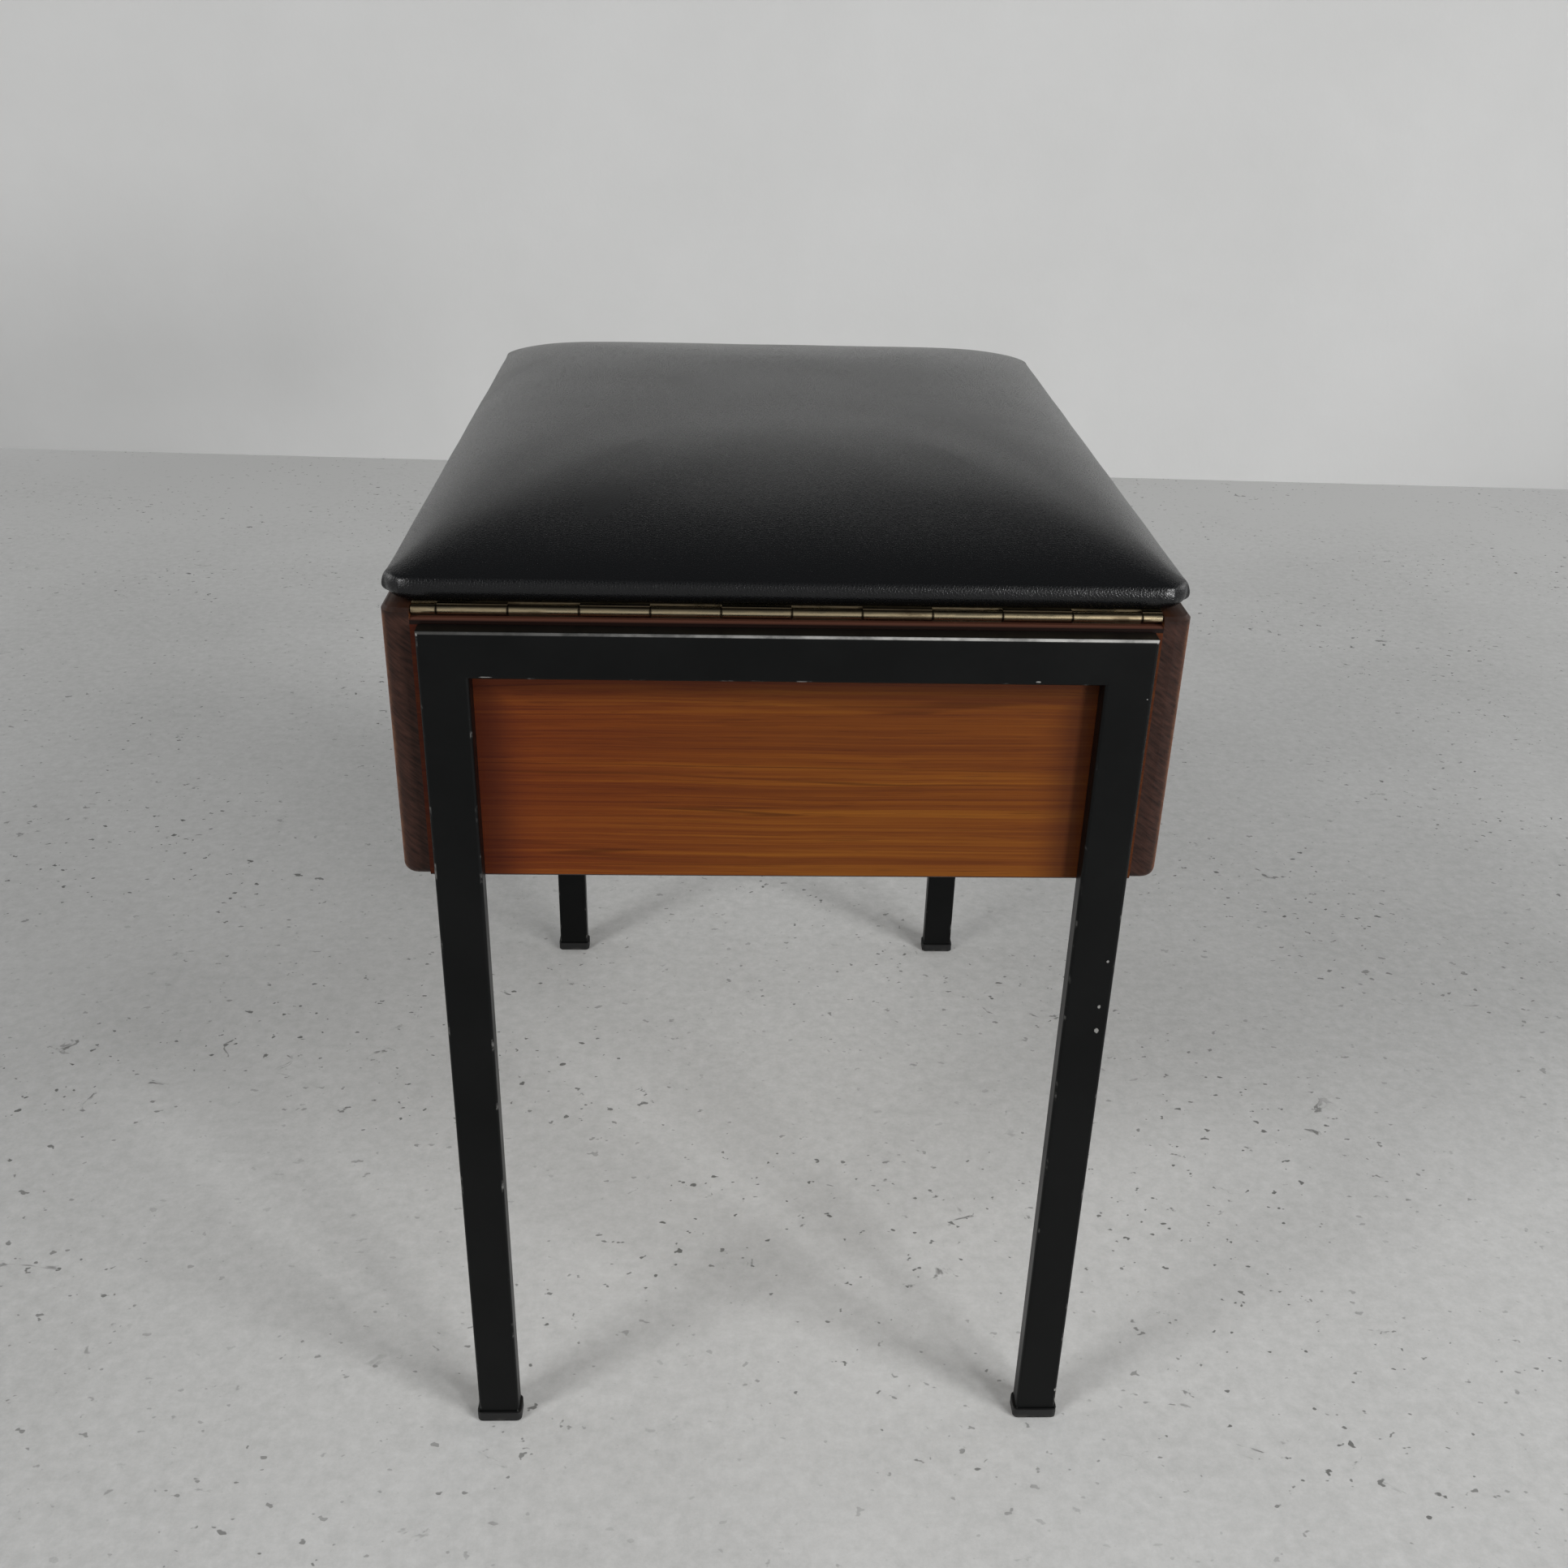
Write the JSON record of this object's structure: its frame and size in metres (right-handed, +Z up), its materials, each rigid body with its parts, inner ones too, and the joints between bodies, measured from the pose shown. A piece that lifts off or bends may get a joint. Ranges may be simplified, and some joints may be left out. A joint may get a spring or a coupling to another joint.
{
  "type": "sewing stool",
  "caption": "Padded stool whose lid hinges up from a wooden box with a sliding compartment tray, carried on black tube end frames.",
  "frame": {"origin": "on the floor under the middle of the stool", "axes": "+Z up, +Y from the hinge end to the free end of the lid, +X across the stool"},
  "size_m": [0.325, 0.4542, 0.4728],
  "materials": {
    "black_lacquer": "satin",
    "black_plastic": "matte",
    "teak_board": "oiled",
    "teak_veneer": "oiled",
    "plywood": "plain",
    "birch": "satin",
    "zinc_steel": "zinc plated",
    "aged_brass": "aged",
    "black_leatherette": "semi-gloss",
    "foam": "matte",
    "lining_board": "plain",
    "felt": "matte"
  },
  "bodies": {
    "box": {"front_left_leg": "black_lacquer", "front_right_leg": "black_lacquer", "rear_left_leg": "black_lacquer", "rear_right_leg": "black_lacquer", "front_left_foot_cap": "black_plastic", "front_right_foot_cap": "black_plastic", "rear_left_foot_cap": "black_plastic", "rear_right_foot_cap": "black_plastic", "front_rail": "black_lacquer", "rear_rail": "black_lacquer", "frame_bolts": "zinc_steel", "frame_washers": "zinc_steel", "frame_rivet_nuts": "zinc_steel", "left_side_board": "teak_board", "right_side_board": "teak_board", "front_panel": "teak_veneer", "rear_panel": "teak_veneer", "bottom_panel": "plywood", "corner_dowels": "birch", "left_tray_runner": "birch", "right_tray_runner": "birch", "runner_screws": "zinc_steel", "lid_buffers": "felt", "hinge_fixed_leaf": "aged_brass", "hinge_pin": "aged_brass", "fixed_leaf_screws": "aged_brass"},
    "lid": {"hinge_lid_leaf": "aged_brass", "lid_leaf_screws": "aged_brass", "lid_board": "plywood", "foam_pad": "foam", "seat_cover": "black_leatherette", "lid_lining": "lining_board"},
    "tray": {"tray_left_wall": "birch", "tray_right_wall": "birch", "tray_front_wall": "birch", "tray_rear_wall": "birch", "tray_bottom": "birch", "tray_long_divider": "birch", "tray_cross_divider_1": "birch", "tray_cross_divider_2": "birch"}
  },
  "joints": [
    {"name": "lid_hinge", "type": "hinge", "parent": "box", "child": "lid", "pos_m": [0, -0.2124, 0.43445], "axis": [1, 0, 0], "range_deg": [0, 110]},
    {"name": "tray_slide", "type": "slide", "parent": "box", "child": "tray", "axis": [0, 1, 0], "range_m": [0, 0.25]}
  ]
}
